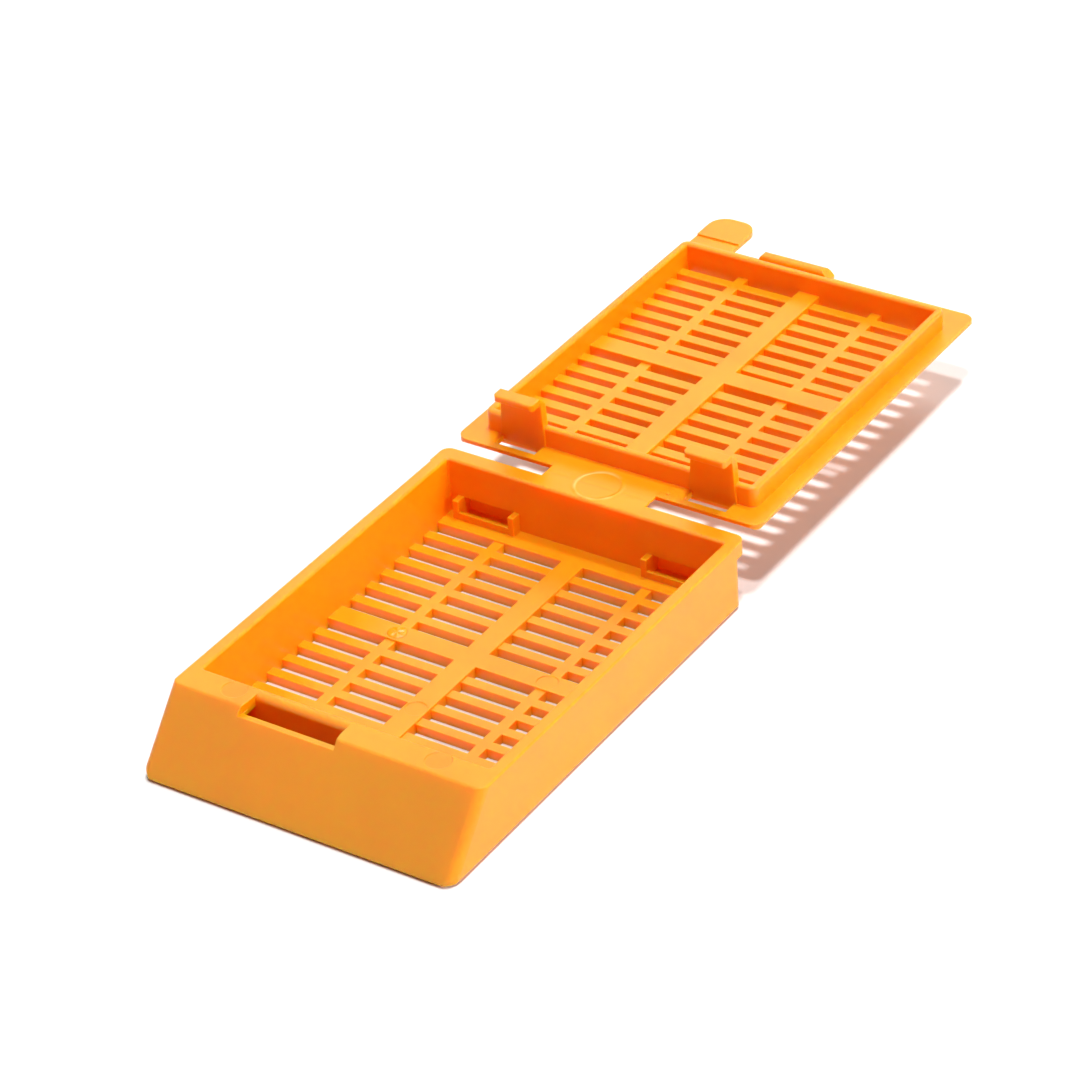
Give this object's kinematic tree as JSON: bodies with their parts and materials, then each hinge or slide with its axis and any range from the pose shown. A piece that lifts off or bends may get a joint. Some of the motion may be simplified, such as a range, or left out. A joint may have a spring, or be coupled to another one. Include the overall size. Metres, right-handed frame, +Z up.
{
  "type": "tissue cassette",
  "caption": "Flat slotted specimen cassette with a slanted writing face and a slotted snap lid on a living hinge, lid open.",
  "frame": {"origin": "on the underside of the tray, below the middle of its compartment", "axes": "+X across the tray, +Y from the slanted writing face to the hinge and the open lid, +Z up out of the compartment"},
  "size_m": [0.0288, 0.0855, 0.0105],
  "materials": {
    "acetal": "satin"
  },
  "bodies": {
    "tray_body": {"tray": "acetal", "hinge_strap": "acetal"},
    "lid_body": {"lid": "acetal"}
  },
  "joints": [
    {"name": "lid_fold", "type": "hinge", "parent": "tray_body", "child": "lid_body", "pos_m": [0, 0.01898, 0.00605], "axis": [1, 0, 0], "range_deg": [0, 180]}
  ]
}
